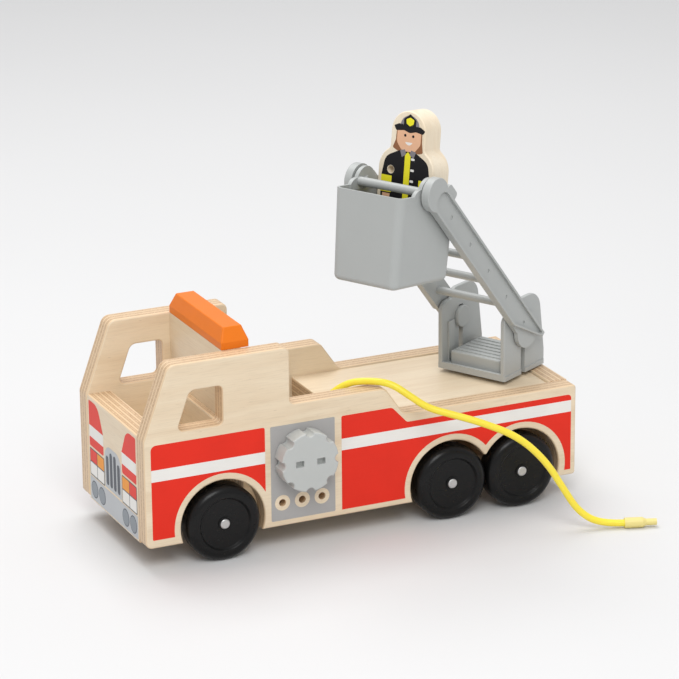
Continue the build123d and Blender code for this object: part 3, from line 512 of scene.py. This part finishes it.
FIN_INNER, FIN_OUTER, FIN_FOOT, FIN_TOP = 15.5, 38.8, 51.0, 80.5
FIRST_SLOT, SLOT_PITCH, SLOT_HALF, SLOT_FOOT = -9.3, 6.2, 2.1, 34.5
LAMP_WIDE, LAMP_TALL = 11.0, 7.8
FOG_UP, FOG_RING, FOG_LAMP = 23.5, 5.6, 5.0


def half_front(side, sign):
    """The fin, the four lamps and the two fog lamps of one side of the face."""
    def on_front(name, outline, paint, layer=0):
        flipped = [(sign * across, up) for across, up in outline]
        skin(f"{side}_{name}", [flipped], FRONT, paint, "root", layer)

    fin_low = [(FIN_INNER, FIN_FOOT), (FIN_OUTER, FIN_FOOT), (FIN_OUTER, STRIPE_LOW), (FIN_INNER, STRIPE_LOW)]
    on_front("fin_low", rounded(fin_low, [1.5, 1, 0, 0]), "red")
    on_front("fin_stripe", box_outline(FIN_INNER, FIN_OUTER, STRIPE_LOW, STRIPE_HIGH), "white")
    fin_top = [(FIN_INNER, STRIPE_HIGH), (FIN_OUTER, STRIPE_HIGH), (FIN_OUTER, FIN_TOP), (24.0, FIN_TOP)]
    on_front("fin_top", rounded(fin_top, [0, 0, 1, 10]), "red")
    on_front("lamp_frame", box_outline(14.8, 39.0, 31.8, 49.6, 0.8), "slate")
    for row, low in enumerate((32.6, 41.2)):
        for column, inner in enumerate((15.5, 27.3)):
            colour = "white" if row == 0 else ("amber" if column == 0 else "red")
            lamp = box_outline(inner, inner + LAMP_WIDE, low, low + LAMP_TALL, 0.6)
            on_front(f"lamp_{row}{column}", lamp, colour, 1)
    for column, middle in enumerate((19.8, 32.3)):
        on_front(f"fog_ring_{column}", disc((middle, FOG_UP), FOG_RING), "slate", 1)
        on_front(f"fog_lamp_{column}", disc((middle, FOG_UP), FOG_LAMP), "mid_grey", 2)


def front_prints():
    """The engine's face: bumper and grille, then what is drawn once for each side."""
    skin("bumper", [box_outline(-39.5, 39.5, 16.0, 31.0, 1.0)], FRONT, "light_grey", "root")
    grille = rounded([(-13.8, 32.4), (13.8, 32.4), (13.8, 60.0), (-13.8, 60.0)], [0.5, 0.5, 9.0, 9.0])
    skin("grille", [grille], FRONT, "light_grey", "root")
    for slot in range(4):
        middle = FIRST_SLOT + SLOT_PITCH * slot
        top = 57.0 if slot in (1, 2) else 53.5
        opening = box_outline(middle - SLOT_HALF, middle + SLOT_HALF, SLOT_FOOT, top, 1.9)
        skin(f"grille_slot_{slot}", [opening], FRONT, "slate", "root", 1)
    half_front("left", 1)
    half_front("right", -1)


front_prints()

# ---- prints on the rider ----
rider_up = Vector(joints["rider_lift"]["axis"])
rider_left = -Vector(joints["bucket_swing"]["axis"])
rider_forward = rider_left.cross(rider_up).normalized()
rider_points = [vertex.co for vertex in nodes["rider"].data.vertices]


def extent(direction):
    """The rider's lowest and highest values along a direction."""
    values = [point.dot(direction) for point in rider_points]
    return min(values), max(values)


RIDER_FRONT = extent(rider_forward)[1]
RIDER_MIDDLE = sum(extent(rider_left)) / 2
RIDER_FOOT = extent(rider_up)[0]
RIDER_ORIGIN = rider_forward * RIDER_FRONT + rider_left * RIDER_MIDDLE + rider_up * RIDER_FOOT
RIDER_FACE = plane(RIDER_ORIGIN, rider_left, rider_up, rider_forward)
HAND_HOLE = (-10.9, 63.3)  # from the figure's middle and above its foot, in millimetres
HOLE_RING = 2.6
COLLAR_MIDDLE = 0.8


def mirrored(outline):
    """An outline and its mirror image about the figure's middle."""
    return [outline, [(-across, up) for across, up in reversed(outline)]]


def rider_prints():
    """A calm cartoon figure in a firefighter's coat, drawn with simple shapes."""
    def on_rider(name, loops, paint, layer=0):
        skin(f"rider_{name}", loops, RIDER_FACE, paint, "rider", layer)

    coat = rounded(
        [(-17.2, 36), (17.4, 36), (17.6, 60), (15.6, 70.5), (5.5, 76), (-5.0, 76), (-15.2, 71), (-17.3, 60)],
        [1, 1, 6, 7, 1.5, 1.5, 7, 6],
    )
    on_rider("coat", [coat, disc(HAND_HOLE, HOLE_RING)], "dark")
    leg = rounded([(-12.8, 6), (-1.6, 6), (-0.6, 36.4), (-12.0, 36.4)], [0.5, 0.5, 0.5, 0.5])
    on_rider("legs", mirrored(leg), "dark")
    boot = rounded([(-16.0, 2.5), (-1.8, 2.5), (-1.8, 6.4), (-13.0, 6.4)], [1, 1, 0.3, 2])
    on_rider("boots", mirrored(boot), "dark")
    on_rider("knee_patches", mirrored(box_outline(-11.2, -3.4, 19.5, 29.5, 0.4)), "mid_grey", 1)
    on_rider("trouser_bands", mirrored(box_outline(-13.2, -2.0, 10.5, 14.5, 0.2)), "yellow", 1)
    on_rider("hem_band", [box_outline(-12.2, 12.2, 34.6, 39.4, 0.3)], "yellow", 1)
    band = rounded([(-1.2, 39.6), (2.9, 39.6), (2.9, 73.4), (0.8, 75.6), (-1.2, 73.4)], [0.3, 0.3, 1, 0.8, 1])
    on_rider("front_band", [band], "yellow", 1)
    arm_bands = []
    for low in (49.4, 55.6):
        arm_bands += mirrored(box_outline(-17.4, -9.8, low, low + 3.9, 0.2))
    on_rider("arm_bands", arm_bands, "yellow", 1)
    hand = rounded([(-15.4, 41.0), (-11.0, 41.0), (-10.4, 48.6), (-15.9, 48.6)], [2.5, 2.0, 0.3, 0.3])
    on_rider("hands", mirrored(hand), "skin", 1)
    buttons = [box_outline(3.3, 5.9, low, low + 1.4, 0.5) for low in (43.5, 50.5, 57.4, 64.0, 70.7)]
    on_rider("buttons", buttons, "white", 1)
    collar = ((5.8, 75.9), (4.2, 71.8), (1.3, 73.8), (2.2, 76.8))
    for name, sign in (("left", 1), ("right", -1)):
        flap = [(COLLAR_MIDDLE + sign * across, up) for across, up in collar]
        on_rider(f"{name}_collar", [rounded(flap, [0.3] * 4)], "helmet_grey", 2)
    hair = rounded(
        [
            (-10.6, 76.9), (-7.2, 75.4), (8.6, 75.2), (11.4, 76.0),
            (10.4, 82), (10.0, 88.5), (-8.4, 88.5), (-8.6, 82),
        ],
        [1, 2, 2, 1, 3, 2, 2, 3],
    )
    on_rider("hair", [hair], "hair")
    face = rounded(
        [(-7.8, 89.0), (-7.8, 80.6), (-3.6, 75.6), (5.2, 75.6), (9.4, 80.6), (9.4, 89.0)],
        [0.5, 4.5, 3.8, 3.8, 4.5, 0.5],
    )
    on_rider("face", [face], "skin", 1)
    on_rider("eyes", [disc((-2.0, 85.2), 0.85), disc((3.8, 85.2), 0.85)], "dark", 2)
    on_rider("smile", [arc((0.9, 82.2), 2.7, 200, 340, 16)], "white", 2)
    brim = [
        (-10.4, 90.3), (-8.6, 87.4), (-3.0, 88.2), (1.2, 86.9), (5.6, 88.1), (10.6, 87.2), (12.2, 89.4),
        (8.6, 91.4), (-7.0, 91.8),
    ]
    on_rider("helmet_brim", [rounded(brim, [0.5, 1, 2, 4, 2, 1, 0.5, 2, 2])], "dark", 2)
    crown = [(-6.4, 91.0)] + arc((0.9, 90.6), 6.8, 176, 4) + [(8.2, 91.0)]
    on_rider("helmet_crown", [crown], "helmet_grey", 2)
    shield = rounded(
        [(-3.4, 90.6), (5.2, 90.6), (5.4, 95.0), (0.8, 98.4), (-3.6, 95.0)],
        [0.4, 0.4, 1, 0.8, 1],
    )
    on_rider("helmet_shield", [shield], "dark", 3)
    badge = [(-1.9, 95.0), (-1.5, 92.4), (1.0, 91.0), (3.4, 92.4), (3.9, 95.0), (1.0, 96.3)]
    on_rider("helmet_badge", [rounded(badge, [0.7] * 6)], "yellow", 4)


rider_prints()

# ---- hose ----
HOSE_ROUTE = [  # back from the nose, left of the centre line, above the floor
    (0.103, 0.028, 0.0733),
    (0.119, 0.0285, 0.0755),
    (0.1295, 0.0315, 0.0845),
    (0.140, 0.037, 0.0935),
    (0.151, 0.0445, 0.0955),
    (0.161, 0.0545, 0.0955),
    (0.170, 0.0615, 0.0885),
    (0.180, 0.0675, 0.0805),
    (0.193, 0.074, 0.0765),
    (0.211, 0.0825, 0.0705),
    (0.230, 0.091, 0.0615),
    (0.245, 0.0975, 0.046),
    (0.255, 0.102, 0.028),
    (0.264, 0.1055, 0.012),
    (0.277, 0.1105, 0.0033),
    (0.291, 0.1155, 0.0033),
]
HOSE_RADIUS = 2.2 * MM


def tube(name, points, radius, cyclic=False):
    """A round hose along the smooth curve that its control points make."""
    line = bpy.data.curves.new(name, "CURVE")
    line.dimensions = "3D"
    line.bevel_depth = radius
    line.bevel_resolution = 6
    line.use_fill_caps = True
    line.resolution_u = 10
    spline = line.splines.new("NURBS")
    spline.points.add(len(points) - 1)
    for point, spot in zip(spline.points, points):
        point.co = (*spot, 1)
    spline.order_u = 3
    spline.use_endpoint_u = True
    line.materials.append(vinyl)
    piece = bpy.data.objects.new(name, line)
    bpy.context.scene.collection.objects.link(piece)
    return piece


hose_points = [place(*point) for point in HOSE_ROUTE]
yellow_hose = tube("yellow_hose", hose_points, HOSE_RADIUS)
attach(yellow_hose, "root")
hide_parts("hose")

# ---- wound hose: one neat layer of turns on the drum ----
wound_low, wound_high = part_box("wound_hose")
reel_axis = (wound_low + wound_high) / 2
WOUND_RADIUS = (wound_high.z - wound_low.z) / 2 - HOSE_RADIUS
TURN_STEPS = 16
wound_wide = wound_high.y - wound_low.y
turns = int(wound_wide / (2 * HOSE_RADIUS)) - 1
steps = turns * TURN_STEPS
coil = []
for step in range(steps + 1):
    turn = 2 * pi * step / TURN_STEPS
    left = wound_low.y + HOSE_RADIUS + (wound_wide - 2 * HOSE_RADIUS) * step / steps
    ahead = reel_axis.x + WOUND_RADIUS * sin(turn)
    height = reel_axis.z + WOUND_RADIUS * cos(turn)
    coil.append(Vector((ahead, left, height)))
wound_turns = tube("wound_turns", coil, HOSE_RADIUS)
wound_turns.data.resolution_u = 3
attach(wound_turns, "reel")
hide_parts("wound_hose")

# ---- stage and light ----
FLOOR_HALF = 12.0
WORLD_COLOUR = (0.90, 0.90, 0.91, 1)
WORLD_STRENGTH = 0.72


def floor_material():
    """A plain pale floor with the faintest unevenness."""
    material, tree, shader = start_material("stage_floor", 0.75)
    clouds = stretched_noise(tree, (2, 2, 2), 2.0)
    tone = blend_colours(tree, clouds, (0.67, 0.67, 0.67), (0.70, 0.70, 0.70))
    tree.links.new(tone, shader.inputs["Base Color"])
    return material


def make_floor():
    """A wide level floor under the engine."""
    mesh = bpy.data.meshes.new("floor")
    corners = [
        (-FLOOR_HALF, -FLOOR_HALF, 0), (FLOOR_HALF, -FLOOR_HALF, 0),
        (FLOOR_HALF, FLOOR_HALF, 0), (-FLOOR_HALF, FLOOR_HALF, 0),
    ]
    mesh.from_pydata(corners, [], [(0, 1, 2, 3)])
    mesh.materials.append(floor_material())
    floor = bpy.data.objects.new("floor", mesh)
    bpy.context.scene.collection.objects.link(floor)


def area_light(name, spot, power, size):
    """A soft square light aimed at the engine."""
    data = bpy.data.lights.new(name, "AREA")
    data.energy = power
    data.size = size
    light = bpy.data.objects.new(name, data)
    light.location = spot
    light.rotation_euler = (Vector((0, 0, 0.1)) - Vector(spot)).to_track_quat("-Z", "Y").to_euler()
    bpy.context.scene.collection.objects.link(light)


make_floor()
area_light("key", (0.5, 1.4, 1.7), 22, 1.1)
area_light("top", (0.0, -0.6, 1.7), 17, 1.1)
world = bpy.data.worlds.new("studio")
world.use_nodes = True
background = world.node_tree.nodes["Background"]
background.inputs["Color"].default_value = WORLD_COLOUR
background.inputs["Strength"].default_value = WORLD_STRENGTH
bpy.context.scene.world = world
bpy.context.scene.view_settings.view_transform = "Standard"
